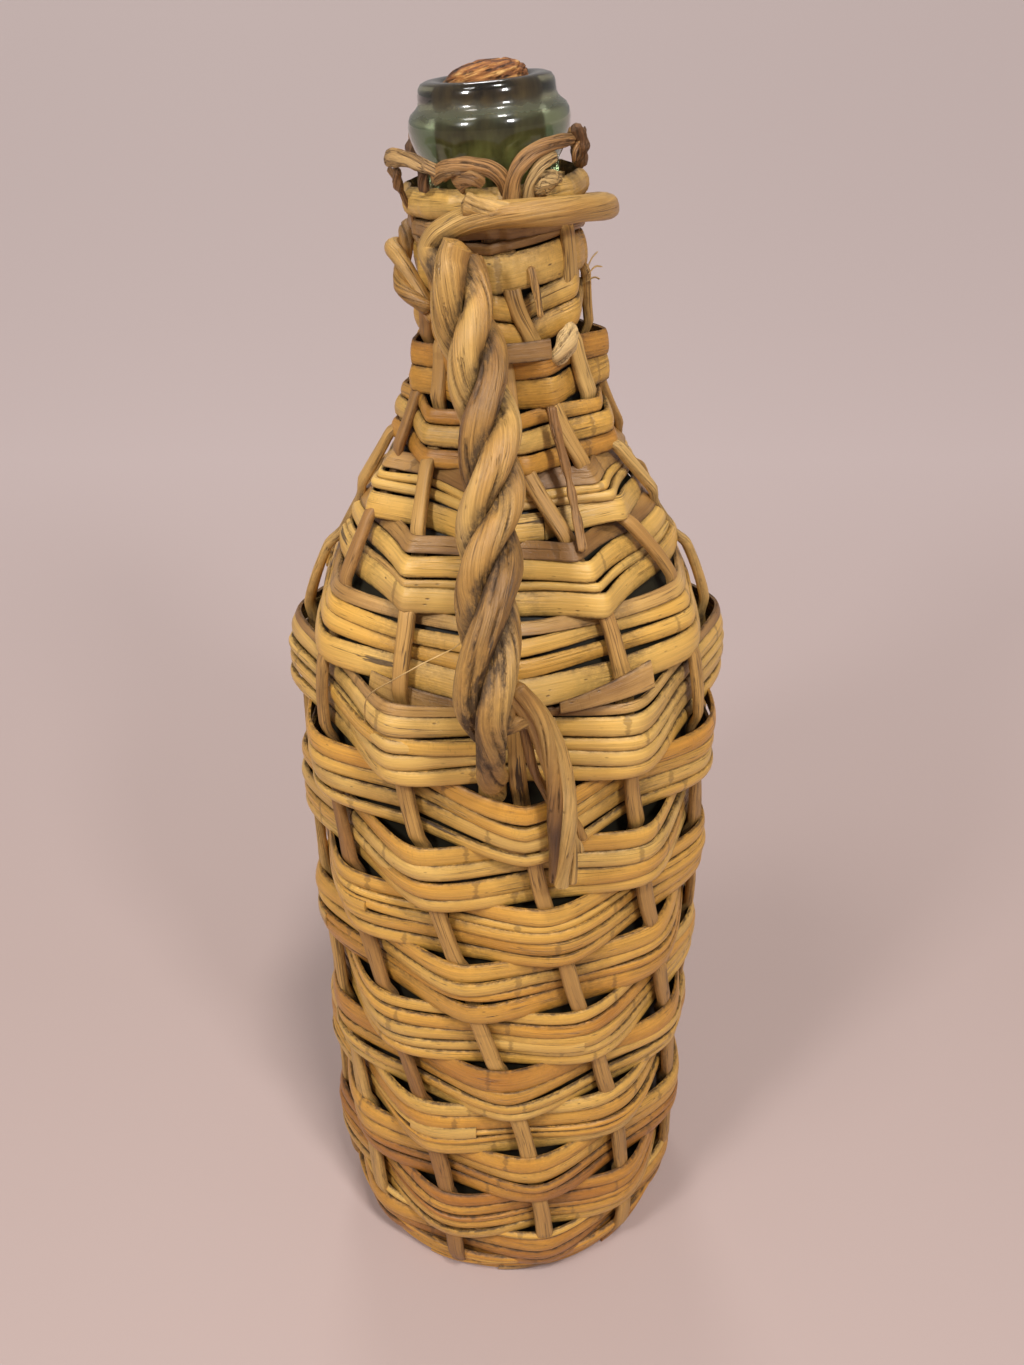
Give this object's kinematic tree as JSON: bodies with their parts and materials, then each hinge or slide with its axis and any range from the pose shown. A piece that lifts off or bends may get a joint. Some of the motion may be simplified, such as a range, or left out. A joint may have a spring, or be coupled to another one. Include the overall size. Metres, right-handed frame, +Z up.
{
  "type": "wicker demijohn",
  "caption": "Tall glass bottle in a woven willow cover, with a twisted handle at the neck and a cork stopper, for storing and pouring wine or oil.",
  "frame": {"origin": "middle of the base, on the surface that the bottle stands on", "axes": "+Z up along the bottle, -Y towards the front with the handle, +X to the right seen from the front"},
  "size_m": [0.1514, 0.1762, 0.4567],
  "materials": {
    "glass": "smooth, pale green",
    "cork": "rough, chipped",
    "stake": "peeled, satin",
    "cane": "satin, split",
    "base": "dull",
    "border": "satin, barked",
    "handle": "satin, fibrous"
  },
  "bodies": {
    "bottle": {"glass_bottle": "glass", "base_mat": "base", "foot_border": "base", "stake_01": "stake", "stake_02": "stake", "stake_03": "stake", "stake_04": "stake", "stake_05": "stake", "stake_06": "stake", "stake_07": "stake", "stake_08": "stake", "stake_09": "stake", "stake_10": "stake", "stake_11": "stake", "stake_12": "stake", "weave_band_01": "cane", "weave_band_02": "cane", "weave_band_03": "cane", "weave_band_04": "cane", "weave_band_05": "cane", "weave_band_06": "cane", "weave_band_07": "cane", "weave_band_08": "cane", "weave_band_09": "cane", "weave_band_10": "cane", "weave_band_11": "cane", "weave_band_12": "cane", "weave_band_13": "cane", "weave_band_14": "cane", "weave_band_15": "cane", "weave_band_16": "cane", "weave_band_17": "cane", "weave_band_18": "cane", "weave_band_19": "cane", "border_rod_01": "border", "border_rod_02": "border", "border_rod_03": "border", "border_rod_04": "border", "handle_strand_loop": "handle", "handle_strand_tucked": "handle", "handle_strand_tail": "handle"},
    "cork": {"cork_stopper": "cork"}
  },
  "joints": [
    {"name": "cork_pull", "type": "slide", "parent": "bottle", "child": "cork", "axis": [-0.0837, 0, 0.9965], "range_m": [0, 0.05]}
  ]
}
